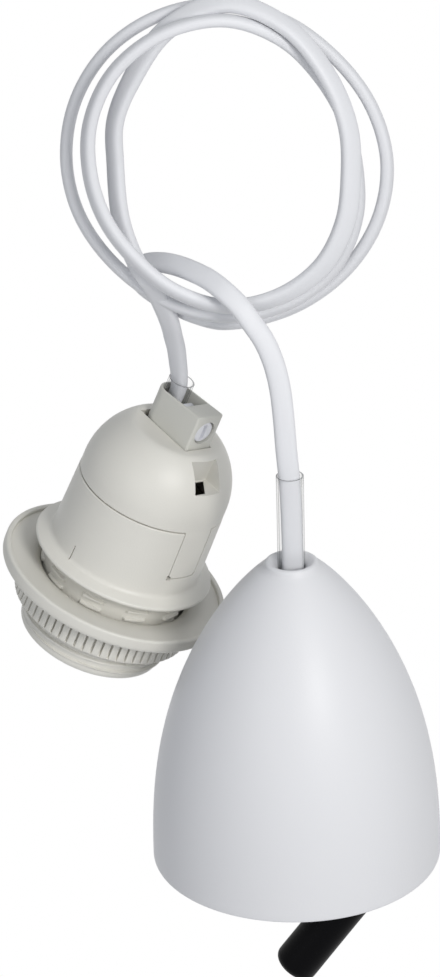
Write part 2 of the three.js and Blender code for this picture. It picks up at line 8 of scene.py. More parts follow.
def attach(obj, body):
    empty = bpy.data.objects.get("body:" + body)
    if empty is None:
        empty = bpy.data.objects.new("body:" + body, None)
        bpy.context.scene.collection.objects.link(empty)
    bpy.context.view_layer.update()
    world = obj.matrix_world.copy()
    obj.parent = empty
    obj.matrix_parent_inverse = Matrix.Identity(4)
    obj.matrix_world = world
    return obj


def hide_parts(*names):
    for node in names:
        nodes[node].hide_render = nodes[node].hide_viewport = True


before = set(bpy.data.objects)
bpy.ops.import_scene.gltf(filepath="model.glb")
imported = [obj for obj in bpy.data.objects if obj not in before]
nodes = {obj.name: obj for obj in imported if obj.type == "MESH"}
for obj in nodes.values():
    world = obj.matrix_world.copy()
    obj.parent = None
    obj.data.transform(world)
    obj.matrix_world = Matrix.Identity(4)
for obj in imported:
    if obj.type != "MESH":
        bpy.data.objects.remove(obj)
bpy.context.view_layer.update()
mm = 0.001
print("frame loaded,", len(nodes), "nodes")

# Places of the three groups, the same as the solids have
placing = {
    "canopyAt": (17.4, -21.0, -222.1),
    "canopyLean": -1.4,
    "bootAt": (-2.0, -16.0, -27.0),
    "bootLean": 36.2,
    "holderAt": (-37.7, 22.6, -179.0),
    "holderNod": 4.8,
    "holderLean": 20.8,
    "holderTurn": -46.0,
}


def groupMatrix(at, nod=0.0, lean=0.0, turn=0.0):
    # place, then lean about Y, nod about X, turn about Z
    matrix = Matrix.Translation(Vector(at) * mm)
    for angle, axis in ((lean, "Y"), (nod, "X"), (turn, "Z")):
        matrix = matrix @ Matrix.Rotation(math.radians(angle), 4, axis)
    return np.array(matrix)


canopyMatrix = groupMatrix(placing["canopyAt"], lean=placing["canopyLean"])
bootMatrix = canopyMatrix @ groupMatrix(placing["bootAt"], lean=placing["bootLean"])
holderMatrix = groupMatrix(placing["holderAt"], placing["holderNod"], placing["holderLean"],
                           placing["holderTurn"])


def placed(points, matrix):
    # millimetre points of a group to metres in the frame
    points = np.asarray(points, float) * mm
    return points @ matrix[:3, :3].T + matrix[:3, 3]


def pick(values, names):
    return [values[name] for name in names.split()]


# Mesh making: every shape is an array of points on a grid of rows and columns

sharpAngle = 32.0
axisRadius = 0.01


def shadeSmooth(mesh, smoothAngle=sharpAngle):
    mesh.polygons.foreach_set("use_smooth", np.ones(len(mesh.polygons), bool))
    mesh.set_sharp_from_angle(angle=math.radians(smoothAngle))


def newMesh(name, verts, faces, smoothAngle=sharpAngle):
    mesh = bpy.data.meshes.new(name)
    mesh.from_pydata(np.asarray(verts).tolist(), [], faces)
    mesh.update()
    shadeSmooth(mesh, smoothAngle)
    piece = bpy.data.objects.new(name, mesh)
    bpy.context.scene.collection.objects.link(piece)
    return piece


def outwardNormals(piece):
    # turn every face of a closed shell outwards
    shell = bmesh.new()
    shell.from_mesh(piece.data)
    bmesh.ops.recalc_face_normals(shell, faces=shell.faces)
    shell.to_mesh(piece.data)
    shell.free()
    return piece


def ringedShell(name, grid, capped=False, smoothAngle=sharpAngle, matrix=holderMatrix):
    # rows run along the section, columns run round the axis; the first and last rows are joined,
    # or, where capped, each is closed by a fan to its centre
    rows, columns = grid.shape[:2]
    verts = grid.reshape(-1, 3)
    u, v = np.meshgrid(np.arange(rows - 1 if capped else rows), np.arange(columns), indexing="ij")
    nextU, nextV = (u + 1) % rows, (v + 1) % columns
    quads = [u * columns + v, u * columns + nextV, nextU * columns + nextV, nextU * columns + v]
    faces = np.stack(quads, -1).reshape(-1, 4).tolist()
    if capped:
        verts = np.vstack([verts, grid[0].mean(0), grid[-1].mean(0)])
        low, high, base = rows * columns, rows * columns + 1, (rows - 1) * columns
        ring = np.arange(columns)
        after = (ring + 1) % columns
        faces += np.stack([np.full(columns, low), after, ring], -1).tolist()
        faces += np.stack([np.full(columns, high), base + ring, base + after], -1).tolist()
    return outwardNormals(newMesh(name, placed(verts, matrix), faces, smoothAngle))


def fullTurn(columns):
    return np.linspace(0, 2 * np.pi, columns, endpoint=False)


def roundGrid(radius, height, angle):
    return np.stack([radius * np.cos(angle), radius * np.sin(angle), height + 0 * angle], -1)


def turnedGrid(profile, columns):
    # radius and height pairs carried round the Z axis
    profile = np.asarray(profile, float)
    return roundGrid(profile[:, 0, None], profile[:, 1, None], fullTurn(columns))


def turnedShell(name, profile, columns, capped=False, smoothAngle=sharpAngle, matrix=holderMatrix):
    return ringedShell(name, turnedGrid(profile, columns), capped, smoothAngle, matrix)


def upright(radius, heights):
    # a straight stretch of a section
    return np.stack([np.full(len(heights), radius), heights], -1)


def arcPoints(centre, radius, start, end, count):
    # points on a round corner of a section, angles in degrees
    angle = np.radians(np.linspace(start, end, count))
    return np.stack([centre[0] + radius * np.cos(angle), centre[1] + radius * np.sin(angle)], -1)


def blockPiece(name, low, high, bevel=0.0, segments=3, matrix=holderMatrix):
    # a box between two corners with its edges rounded
    low, high = np.asarray(low, float), np.asarray(high, float)
    corner = np.array([[x, y, z] for x in (0, 1) for y in (0, 1) for z in (0, 1)])
    faces = [(0, 1, 3, 2), (4, 6, 7, 5), (0, 4, 5, 1), (2, 3, 7, 6), (0, 2, 6, 4), (1, 5, 7, 3)]
    piece = newMesh(name, placed(low + corner * (high - low), matrix), faces)
    if bevel:
        roundEdges(piece, bevel, segments)
    return piece


def roundEdges(piece, width, segments=3, angle=40.0):
    bevel = piece.modifiers.new("bevel", "BEVEL")
    bevel.width = width * mm
    bevel.segments = segments
    bevel.limit_method = "ANGLE"
    bevel.angle_limit = math.radians(angle)
    bevel.miter_outer = "MITER_ARC"
    applyAll(piece)


def applyAll(piece):
    # replace the mesh by its evaluated form and drop the modifiers
    depsgraph = bpy.context.evaluated_depsgraph_get()
    mesh = bpy.data.meshes.new_from_object(piece.evaluated_get(depsgraph))
    piece.modifiers.clear()
    piece.data = mesh
    shadeSmooth(mesh)
    mesh.update()


def combine(piece, cutter, operation="DIFFERENCE"):
    # cut or join one closed mesh by another, then remove the other
    boolean = piece.modifiers.new("boolean", "BOOLEAN")
    boolean.object = cutter
    boolean.operation = operation
    boolean.solver = "EXACT"
    applyAll(piece)
    bpy.data.objects.remove(cutter)
    return piece


def joinPieces(name, pieces):
    # several closed shells that belong to one moulding become one mesh
    bpy.ops.object.select_all(action="DESELECT")
    for piece in pieces:
        piece.select_set(True)
    bpy.context.view_layer.objects.active = pieces[0]
    bpy.ops.object.join()
    pieces[0].name = name
    return pieces[0]


def dress(piece, material):
    piece.data.materials.clear()
    piece.data.materials.append(material)


def finishPiece(piece, body, material, replaced):
    dress(piece, material)
    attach(piece, body)
    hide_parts(replaced)


# Camera

cameraSetup = {"focalPixels": 4230.0, "imageLongSide": 977, "sensor": 36.0, "pitchDown": 25.4,
               "target": (-0.003, 0.0, -0.1263), "distance": 1.1}


def makeCamera(setup):
    data = bpy.data.cameras.new("camera")
    data.sensor_width = setup["sensor"]
    data.lens = setup["focalPixels"] * setup["sensor"] / setup["imageLongSide"]
    data.clip_start = 0.01
    camera = bpy.data.objects.new("camera", data)
    pitch = math.radians(setup["pitchDown"])
    back = Vector((0, -math.cos(pitch), math.sin(pitch))) * setup["distance"]
    camera.location = Vector(setup["target"]) + back
    camera.rotation_euler = Euler((math.pi / 2 - pitch, 0, 0))
    bpy.context.scene.collection.objects.link(camera)
    bpy.context.scene.camera = camera


makeCamera(cameraSetup)

# Shader groups shared by the plastics


socketKinds = {1: "NodeSocketFloat", 3: "NodeSocketVector", 4: "NodeSocketColor"}


def newGroup(name, inputs, outputs):
    # the size of a socket's value tells its kind
    group = bpy.data.node_groups.new(name, "ShaderNodeTree")
    for way, values in (("INPUT", inputs), ("OUTPUT", outputs)):
        for label, value in values.items():
            socket = group.interface.new_socket(label, in_out=way, socket_type=socketKinds[np.size(value)])
            socket.default_value = value
    return group, group.nodes.new("NodeGroupInput").outputs, group.nodes.new("NodeGroupOutput")


def feed(tree, value, socket):
    # another node's output is linked, a plain value is set
    if isinstance(value, bpy.types.NodeSocket):
        tree.links.new(value, socket)
    else:
        socket.default_value = value


def feedAll(tree, node, values):
    for label, value in values.items():
        feed(tree, value, node.inputs[label])


def mathNode(tree, operation, first, second, clamp=False):
    node = tree.nodes.new("ShaderNodeMath")
    node.operation = operation
    node.use_clamp = clamp
    feed(tree, first, node.inputs[0])
    feed(tree, second, node.inputs[1])
    return node.outputs[0]


def mixColours(tree, share, first, second):
    node = tree.nodes.new("ShaderNodeMix")
    node.data_type = "RGBA"
    feed(tree, share, node.inputs["Factor"])
    feed(tree, first, node.inputs[6])
    feed(tree, second, node.inputs[7])
    return node.outputs[2]


def noiseNode(tree, vector, scale, detail=3.0, roughness=0.5):
    node = tree.nodes.new("ShaderNodeTexNoise")
    feedAll(tree, node, {"Vector": vector, "Scale": scale, "Detail": detail, "Roughness": roughness})
    return node.outputs["Fac"]


def groupNode(tree, group, values):
    node = tree.nodes.new("ShaderNodeGroup")
    node.node_tree = group
    feedAll(tree, node, values)
    return node.outputs


def mouldedGroup():
    # colour drifts a little towards a second tone, gloss drifts with it, and a fine grain stands in relief
    group, into, out = newGroup("mouldedSurface", {
        "Vector": (0, 0, 0), "Colour": (0.7, 0.7, 0.7, 1), "Second Colour": (0.6, 0.6, 0.6, 1),
        "Tone Amount": 0.3, "Tone Scale": 30.0, "Grain Scale": 2500.0, "Roughness": 0.5,
        "Roughness Drift": 0.1}, {"Colour": (0, 0, 0, 1), "Roughness": 0.0, "Height": 0.0})
    drift = noiseNode(group, into["Vector"], into["Tone Scale"], 4.0, 0.55)
    share = mathNode(group, "MULTIPLY", drift, into["Tone Amount"], clamp=True)
    colour = mixColours(group, share, into["Colour"], into["Second Colour"])
    swing = mathNode(group, "MULTIPLY", mathNode(group, "SUBTRACT", drift, 0.5), into["Roughness Drift"])
    rough = mathNode(group, "ADD", into["Roughness"], swing, clamp=True)
    grain = noiseNode(group, into["Vector"], into["Grain Scale"], 2.0, 0.5)
    feedAll(group, out, {"Colour": colour, "Roughness": rough, "Height": grain})
    return group


markNoise = {"turn": (0.4, 0.7, 0.2), "stretch": (1.0, 3.2, 1.4), "detail": 5.0, "roughness": 0.7,
             "contrast": 9.0}


def scuffGroup(look):
    # short rubbed marks: stretched noise, kept only where it peaks
    group, into, out = newGroup(
        "handlingMarks", {"Vector": (0, 0, 0), "Scale": 60.0, "Threshold": 0.68}, {"Mask": 0.0})
    stretch = group.nodes.new("ShaderNodeMapping")
    feedAll(group, stretch, {"Vector": into["Vector"], "Rotation": look["turn"], "Scale": look["stretch"]})
    marks = noiseNode(group, stretch.outputs[0], into["Scale"], look["detail"], look["roughness"])
    raised = mathNode(group, "SUBTRACT", marks, into["Threshold"])
    feed(group, mathNode(group, "MULTIPLY", raised, look["contrast"], clamp=True), out.inputs["Mask"])
    return group


moulded = mouldedGroup()
scuffs = scuffGroup(markNoise)


def newMaterial(name):
    material = bpy.data.materials.new(name)
    material.use_nodes = True
    tree = material.node_tree
    return material, tree, tree.nodes["Principled BSDF"]


def plasticMaterial(name, look):
    # the moulded surface and a few handling marks feed one Principled shader
    material, tree, shader = newMaterial(name)
    place = tree.nodes.new("ShaderNodeTexCoord").outputs["Object"]
    surface = groupNode(tree, moulded, {
        "Vector": place, "Colour": (*look["colour"], 1), "Second Colour": (*look["second"], 1),
        "Tone Amount": look["toneAmount"], "Tone Scale": look["toneScale"], "Roughness": look["roughness"],
        "Roughness Drift": look["roughnessDrift"], "Grain Scale": look["grainScale"]})
    marks = groupNode(tree, scuffs, {
        "Vector": place, "Scale": look["markScale"], "Threshold": look["markThreshold"]})["Mask"]
    share = mathNode(tree, "MULTIPLY", marks, look["markStrength"])
    colour = mixColours(tree, share, surface["Colour"], (*look["markColour"], 1))
    rough = mathNode(tree, "MULTIPLY", marks, look["markRoughness"])
    rough = mathNode(tree, "ADD", surface["Roughness"], rough, clamp=True)
    bump = tree.nodes.new("ShaderNodeBump")
    feedAll(tree, bump, {"Strength": look["grainStrength"], "Distance": look["grainDepth"],
                         "Height": surface["Height"]})
    feedAll(tree, shader, {
        "Base Color": colour, "Roughness": rough, "Normal": bump.outputs["Normal"], "IOR": look["ior"],
        "Metallic": look["metallic"], "Coat Weight": look["coat"], "Coat Roughness": look["coatRoughness"]})
    return material


def plasticLook(colour, second, **changes):
    look = {"colour": colour, "second": second, "toneAmount": 0.5, "toneScale": 26.0, "roughness": 0.5,
            "roughnessDrift": 0.14, "grainScale": 2600.0, "grainStrength": 0.25, "grainDepth": 0.0001,
            "markScale": 70.0, "markThreshold": 0.66, "markStrength": 0.25, "markColour": (0.42, 0.4, 0.36),
            "markRoughness": 0.12, "ior": 1.5, "metallic": 0.0, "coat": 0.0, "coatRoughness": 0.3}
    look.update(changes)
    return look


# Cord: one flat twin cord from the holder's grip, three turns round and down into the canopy

cordShape = {
    "width": 5.5, "thickness": 3.2, "roundness": 2.7, "samples": 1500, "columns": 36,
    "coilCentre": (-1.7, -36.4), "stationsPerTurn": 8, "smoothing": 9, "twistSmoothing": 61,
    "gripExit": (-5.0, 0.0, 77.1),
    # degrees that the wide side is turned towards the viewer, at places along the route's points
    "twist": [(0, 30), (2, 34), (5, 46), (10, 56), (13, 38), (15, 34), (17, 70), (19, 40), (21, 52), (23, 62),
              (26, 14), (30, 22), (34, 16), (38, 14), (42, 6), (46, 2), (50, 12), (55, 12), (59, 6), (61, 26),
              (64, 48), (67, 74), (74, 86), (80, 90)],
}
holderLead = [
    (-17.2, 20.5, -115.2), (-15.7, 20.2, -111.3), (-13.9, 19.7, -106.4), (-13.7, 18.8, -102.3),
    (-14.0, 17.6, -98.1), (-14.4, 15.8, -93.6), (-15.1, 13.5, -89.2), (-15.8, 10.5, -84.6),
    (-16.9, 7.0, -79.6), (-18.6, 2.6, -73.4), (-20.3, -0.2, -68.8), (-22.5, -1.6, -65.1),
    (-25.5, -1.8, -59.0), (-28.2, -0.5, -50.0),
]
# distance from the coil's middle and place in depth, every eighth of a turn, from the left over the top
coilStations = [
    (27.6, 1.0), (32.6, 0.0), (42.8, -0.3), (36.0, -6.0), (31.3, -8.0), (34.4, -8.0),
    (35.8, -6.5), (32.4, -6.0), (33.8, -6.0), (38.6, -6.5), (39.4, -3.7), (33.0, 0.5),
    (32.9, -1.5), (39.1, -1.0), (41.6, 0.5), (40.7, 6.0), (40.1, 6.0), (40.7, 6.5),
    (40.4, 5.5), (38.6, 3.0), (40.7, 2.0), (43.1, 4.0), (46.3, 7.0),
]
canopyLead = [
    (-9.7, 9.4, -81.8), (-14.4, 12.8, -80.8), (-19.0, 15.0, -79.0), (-22.8, 15.2, -75.8),
    (-24.6, 13.4, -71.8), (-24.0, 10.2, -68.3), (-21.4, 7.0, -65.8), (-17.8, 3.8, -64.4),
    (-13.8, 0.2, -63.8), (-9.6, -3.9, -63.8), (-5.6, -7.6, -64.5), (-1.9, -11.0, -66.2),
    (2.0, -13.2, -69.4), (5.0, -14.5, -73.3), (8.0, -15.8, -77.5), (10.3, -17.2, -82.5),
    (12.0, -18.6, -88.8), (13.0, -19.9, -96.3), (13.8, -20.8, -105.6), (14.9, -21.0, -117.0),
    (15.8, -21.0, -140.0), (16.2, -21.0, -158.1),
]


def throughPoints(points, places, power):
    # Catmull-Rom curve: knots are spaced by distance to the given power, Barry-Goldman pyramid between them
    points = np.asarray(points, float)
    padded = np.vstack([2 * points[0] - points[1], points, 2 * points[-1] - points[-2]])
    span = np.clip(np.floor(places).astype(int), 0, len(points) - 2)
    share = (places - span)[:, None]
    p = [padded[span + i] for i in range(4)]
    t = [np.zeros((len(span), 1))]
    for i in range(3):
        gap = np.linalg.norm(p[i + 1] - p[i], axis=1, keepdims=True)
        t.append(t[-1] + np.maximum(gap, 1e-9) ** power)
    at = t[1] + share * (t[2] - t[1])

    def between(a, b, low, high):
        return (a * (high - at) + b * (at - low)) / (high - low)

    first = [between(p[i], p[i + 1], t[i], t[i + 1]) for i in range(3)]
    second = [between(first[i], first[i + 1], t[i], t[i + 2]) for i in range(2)]
    return between(second[0], second[1], t[1], t[2])


def coilRoute(shape):
    # two route points for each station, by a smooth curve through radius and depth
    count = 2 * (len(coilStations) - 1)
    places = np.arange(count + 1) / 2
    values = throughPoints(coilStations, places, 0.0)
    angle = places * 2 * np.pi / shape["stationsPerTurn"]
    centreX, centreZ = shape["coilCentre"]
    return np.stack([centreX - values[:, 0] * np.cos(angle), values[:, 1],
                     centreZ + values[:, 0] * np.sin(angle)], -1)


def cordPath(shape):
    route = np.vstack([holderLead, coilRoute(shape), canopyLead])
    places = np.linspace(0, len(route) - 1, shape["samples"])
    path = throughPoints(route, places, 0.5)
    kernel = np.hanning(shape["smoothing"] + 2)[1:-1]
    kernel /= kernel.sum()
    inner = np.stack([np.convolve(path[:, i], kernel, mode="valid") for i in range(3)], -1)
    margin = shape["smoothing"] // 2
    path[margin:-margin] = inner
    return path, places


def unit(vectors):
    return vectors / np.maximum(np.linalg.norm(vectors, axis=-1, keepdims=True), 1e-12)


def makeCord(shape):
    # a rounded flat section carried along the path; its wide side turns by the twist about the tangent
    path, places = cordPath(shape)
    tangent = unit(np.gradient(path, axis=0))
    pitch = math.radians(cameraSetup["pitchDown"])
    view = np.array([0, math.cos(pitch), -math.sin(pitch)])
    across = unit(np.cross(tangent, view))
    depth = np.cross(across, tangent)
    keyPlaces, keyAngles = np.array(shape["twist"], float).T
    turn = np.interp(places, keyPlaces, keyAngles)
    kernel = np.hanning(shape["twistSmoothing"])
    kernel /= kernel.sum()
    turn = np.convolve(np.pad(turn, shape["twistSmoothing"] // 2, mode="edge"), kernel, mode="valid")
    turn = np.radians(turn)[:, None]
    wide = np.cos(turn) * depth + np.sin(turn) * across
    thin = np.cross(tangent, wide)
    angle = fullTurn(shape["columns"])
    power = 2 / shape["roundness"]
    x = shape["width"] / 2 * np.sign(np.cos(angle)) * np.abs(np.cos(angle)) ** power
    y = shape["thickness"] / 2 * np.sign(np.sin(angle)) * np.abs(np.sin(angle)) ** power
    grid = path[:, None] + x[:, None] * wide[:, None] + y[:, None] * thin[:, None]
    piece = ringedShell("cord_flex", grid, True, 60, np.eye(4))
    steps = np.linalg.norm(np.diff(path, axis=0), axis=1)
    return piece, path * mm, steps.sum() * mm


cordWhite = plasticMaterial("cordSheath", plasticLook(
    (0.745, 0.75, 0.77), (0.67, 0.675, 0.7), roughness=0.52, grainScale=1400.0, grainStrength=0.3,
    markScale=160.0, markThreshold=0.7, markStrength=0.2))
cordFlex, cordLine, cordLength = makeCord(cordShape)
finishPiece(cordFlex, "root", cordWhite, "cord")
print("cord made,", round(float(cordLength), 3), "m")

# Canopy

canopyShape = {
    "rimRadius": 38.0, "height": 85.4, "wall": 1.8, "topWall": 3.4, "rimRound": 0.7, "innerRimRound": 0.3,
    "lipRadius": 7.0, "lipRound": 0.9, "lipArc": (12, 125), "holeRadius": 3.7, "funnel": 2.2,
    "funnelCurve": 1.7, "curve": 2.4, "shoulder": 0.88, "rows": 56, "rowSpread": 0.9, "columns": 160,
}


def bellRadius(share, rimRadius, lipRadius, shape):
    # wide at the rim, drawn in to the lip by a power of the height
    return lipRadius + (rimRadius - lipRadius) * (1 - share ** shape["curve"]) ** shape["shoulder"]


def makeCanopy(shape):
    outer, wall, lip, rimRound, innerRound, lipRound, height, hole = pick(
        shape, "rimRadius wall lipRadius rimRound innerRimRound lipRound height holeRadius")
    inner = outer - wall
    share = np.linspace(0, 1, shape["rows"] + 1)[1:] ** shape["rowSpread"]
    outside = np.stack([bellRadius(share, outer, lip, shape), share * (height - lipRound)], -1)
    inside = np.stack([bellRadius(share, inner, hole, shape), share * (height - shape["topWall"])], -1)
    rim = arcPoints((outer - rimRound, rimRound), rimRound, -90, 0, 6)
    innerRim = arcPoints((inner + innerRound, innerRound), innerRound, 180, 270, 4)
    lipEdge = arcPoints((lip - lipRound, height - lipRound), lipRound, *shape["lipArc"], 8)
    # the lip runs in to the hole as a shallow funnel
    (lipEnd, lipLow), fall = lipEdge[-1], np.linspace(0, 1, 8)[1:]
    funnel = np.stack([hole + (lipEnd - hole) * (1 - fall) ** shape["funnelCurve"],
                       lipLow + (height - shape["funnel"] - lipLow) * fall], -1)
    profile = np.vstack([rim, outside, lipEdge, funnel, inside[::-1], innerRim])
    return turnedShell("canopy_shell", profile, shape["columns"], False, 50, canopyMatrix)


canopyWhite = plasticMaterial("canopyPlastic", plasticLook(
    (0.72, 0.723, 0.742), (0.67, 0.665, 0.67), toneAmount=0.35, toneScale=14.0, roughness=0.5,
    roughnessDrift=0.1, grainScale=1500.0, grainStrength=0.2, markScale=95.0, markThreshold=0.735,
    markStrength=0.3, coat=0.08))
finishPiece(makeCanopy(canopyShape), "canopy", canopyWhite, "canopy")
print("canopy made")

# Clear sleeves


def clearMaterial(look):
    # nearly clear where it faces the viewer; where the wall is seen along its surface the dark grey is laid
    # in as painted shade, standing in for the light bent by the clear wall; denser at a cut end
    material, tree, shader = newMaterial(look["name"])
    facing = tree.nodes.new("ShaderNodeLayerWeight").outputs["Facing"]
    # painted shade: the dark grey grows towards the outline, where the wall is seen edge-on
    edge = mathNode(tree, "MULTIPLY", mathNode(tree, "POWER", facing, look["edgePower"]), look["edgeShadeCover"])
    cutEnd = tree.nodes.new("ShaderNodeAttribute")
    cutEnd.attribute_name = "cutEnd"
    edge = mathNode(tree, "ADD", edge, mathNode(tree, "MULTIPLY", cutEnd.outputs["Fac"], look["endCover"]))
    place = tree.nodes.new("ShaderNodeTexCoord").outputs["Object"]
    spread = mathNode(tree, "MULTIPLY", noiseNode(tree, place, look["hazeScale"]), look["hazeDrift"])
    feedAll(tree, shader, {
        "Base Color": (*look["colour"], 1), "IOR": look["ior"],
        "Alpha": mathNode(tree, "ADD", edge, look["cover"], clamp=True),
        "Roughness": mathNode(tree, "ADD", spread, look["roughness"], clamp=True)})
    return material


sleeveShape = {
    "outer": 3.55, "wall": 0.45, "edge": 0.12, "rows": 10, "columns": 72,
    "canopyTop": 109.5, "canopyLength": 43.0,
    "holderTop": 78.8, "holderLength": 11.2, "holderSeat": -5.0,
}
clearLook = {
    # the dark grey colour is painted shade at the tube's outline, and also covers the cut ends
    "name": "clearTube", "colour": (0.2, 0.205, 0.21), "cover": 0.015, "edgeShadeCover": 0.9, "edgePower": 4.5,
    "endCover": 0.6, "ior": 1.45, "roughness": 0.12, "hazeScale": 300.0, "hazeDrift": 0.12,
}


def makeSleeve(name, shape, top, length, matrix, seat=0.0):
    # a straight tube with its cut ends just broken at the edges
    outer, wall, edge, rows = pick(shape, "outer wall edge rows")
    inner, low = outer - wall, top - length
    heights = np.linspace(low + edge, top - edge, rows)
    profile = np.vstack([[(inner + edge, low), (outer - edge, low)], upright(outer, heights),
                         [(outer - edge, top), (inner + edge, top)], upright(inner, heights[::-1])])
    grid = turnedGrid(profile, shape["columns"])
    grid[..., 0] += seat
    tube = ringedShell(name, grid, False, 50, matrix)
    # the two cut ends are marked for the shader, one value a face, row by row up the section
    marked = np.zeros(grid.shape[:2])
    marked[[-1, 0, 1, rows + 1, rows + 2, rows + 3]] = 1
    tube.data.attributes.new("cutEnd", "FLOAT", "FACE").data.foreach_set("value", marked.ravel())
    return tube


clearTube = clearMaterial(clearLook)
canopySleeve = makeSleeve("canopy_sleeve_tube", sleeveShape, sleeveShape["canopyTop"],
                          sleeveShape["canopyLength"], canopyMatrix)
finishPiece(canopySleeve, "root", clearTube, "canopy_sleeve")
holderSleeve = makeSleeve("holder_sleeve_tube", sleeveShape, sleeveShape["holderTop"],
                          sleeveShape["holderLength"], holderMatrix, sleeveShape["holderSeat"])
finishPiece(holderSleeve, "root", clearTube, "holder_sleeve")

# Boot over the terminals

bootShape = {"radius": 5.85, "wall": 0.9, "length": 38.0, "endRound": 2.6, "floor": 1.6, "floorCorner": 0.5,
             "waist": 0.05, "lip": 0.35, "columns": 96}


def makeBoot(shape):
    # a moulded cup: closed round end, plain side drawn in a very little, thin lip at the mouth
    radius, wall, lip, endRound, floor, corner = pick(shape, "radius wall lip endRound floor floorCorner")
    bore, mouthLow = radius - wall, shape["length"] - lip
    end = arcPoints((radius - endRound, endRound), endRound, -90, 0, 12)
    heights = np.linspace(endRound, mouthLow, 24)[1:]
    waist = shape["waist"] * np.sin(np.pi * (heights - heights[0]) / (heights[-1] - heights[0]))
    side = np.stack([radius - waist, heights], -1)
    mouth = arcPoints((radius - lip, mouthLow), lip, 20, 160, 7)
    inside = [(bore, mouthLow), (bore, floor + corner), (bore - corner, floor)]
    profile = np.vstack([end, side, mouth, inside])
    return turnedShell("boot_shell", profile, shape["columns"], True, 50, bootMatrix)


bootBlack = plasticMaterial("bootRubber", plasticLook(
    (0.0012, 0.0012, 0.0018), (0.002, 0.002, 0.0026), ior=1.15, roughness=0.4, roughnessDrift=0.2,
    grainScale=2200.0, grainStrength=0.35, markScale=120.0, markThreshold=0.66, markStrength=0.2,
    markColour=(0.03, 0.03, 0.03)))
finishPiece(makeBoot(bootShape), "root", bootBlack, "terminal_boot")
print("sleeves and boot made")

# Lamp holder: skirt with threaded barrel and flange

skirtShape = {
    "barrelRadius": 19.9, "wall": 1.8, "low": -2.2, "endRound": 1.8, "around": 480, "rowHeight": 0.22,
    "mouthRadius": 15.2, "mouthLip": 5.7, "mouthEase": 0.3, "stepEase": 0.2,
    "crest": 0.8, "pitch": 2.5, "threadLow": 0.9, "threadHigh": 23.4, "runOut": 0.6,
    # the crest is a clipped wave: how steep its sides are and how far it is let down
    "crestSlope": 1.5, "crestDrop": 0.1,
    # the first turn is whole, then the crest stands on columns; their edges are shares of a column's turn
    "wholeThread": 3.5, "wholeFade": 0.5, "columns": 10, "columnTurn": 11.0, "columnEdge": (0.225, 0.26),
    "neckRadius": 20.6, "neckHeight": 0.9, "neckLap": 0.3,
    "flangeUnder": 24.6, "flangeRadius": 24.8, "flangeEdge": 1.3, "flangeLap": 0.6, "fillet": 1.6,
    "foot": 28.0, "footRadius": 20.9, "topRadius": 20.4, "top": 47.0, "topEase": 0.25,
    "collarRadius": 18.2, "collarHeight": 4.0, "collarWall": 1.2,
    "tongueWidth": 9.4, "tongueLow": 32.9, "gap": 0.3,
    "notchInside": 5.0, "notchAbove": 6.0, "notchRound": 0.9,
    # one lower corner of the notch is cut square, from and to these places beside the corner
    "cornerFrom": (-0.3, -0.35), "cornerTo": (1.3, 1.1),
    "slitWidth": 0.35, "slitDepth": 0.5, "slitLow": 26.8, "slitHigh": 31.3,
    "nibWidth": 1.8, "nibAzimuth": 135.0, "nibLow": -1.5, "nibHigh": -0.1, "nibInside": 1.0,
    "nibOutside": 0.35, "nibEdge": 0.2,
}


def smoothStep(values, low, high):
    share = np.clip((values - low) / (high - low), 0, 1)
    return share * share * (3 - 2 * share)


def holderTurned(angle):
    return holderMatrix @ np.array(Matrix.Rotation(angle, 4, "Z"))


def makeBarrel(shape):
    # the thread is a round crest that climbs one pitch a turn; above the first turn it stands on even columns
    barrel, wall, roundness, low, under, neck = pick(
        shape, "barrelRadius wall endRound low flangeUnder neckRadius")
    joined, plainTop = under + shape["neckLap"], under - shape["neckHeight"]
    count = int((plainTop - low - roundness) / shape["rowHeight"])
    end = arcPoints((barrel - roundness, low + roundness), roundness, -90, 0, 10)
    heights = np.linspace(low + roundness, plainTop, count)[1:]
    side = np.vstack([upright(barrel, heights), [(neck, under), (neck, joined)]])
    mouth, lip, ease, step = pick(shape, "mouthRadius mouthLip mouthEase stepEase")
    inner = barrel - wall
    inside = [(inner, joined), (inner, lip), (mouth + step, lip), (mouth, lip - step), (mouth, low + ease),
              (mouth + ease, low)]
    profile = np.vstack([end, side, inside])
    grid = turnedGrid(profile, shape["around"])
    outer = len(end) + len(side)
    angle = fullTurn(shape["around"])
    height = profile[:outer, 1, None]
    first, last, runOut, whole, fade = pick(shape, "threadLow threadHigh runOut wholeThread wholeFade")
    turn = (height - first) / shape["pitch"] - angle / (2 * np.pi)
    tooth = np.clip(shape["crestSlope"] * np.cos(2 * np.pi * turn) - shape["crestDrop"], 0, 1)
    tooth *= smoothStep(height, first - runOut, first)
    tooth *= 1 - smoothStep(height, last - runOut, last)
    sector = 2 * np.pi / shape["columns"]
    offset = np.abs((angle - math.radians(shape["columnTurn"]) + sector / 2) % sector - sector / 2)
    column = 1 - smoothStep(offset, *(sector * share for share in shape["columnEdge"]))
    column = np.maximum(column[None], 1 - smoothStep(height, whole - fade, whole + fade))
    radius = np.linalg.norm(grid[:outer, :, :2], axis=-1, keepdims=True)
    grid[:outer, :, :2] *= (radius + (shape["crest"] * tooth * column)[..., None]) / radius
    return ringedShell("barrel", grid, smoothAngle=38)


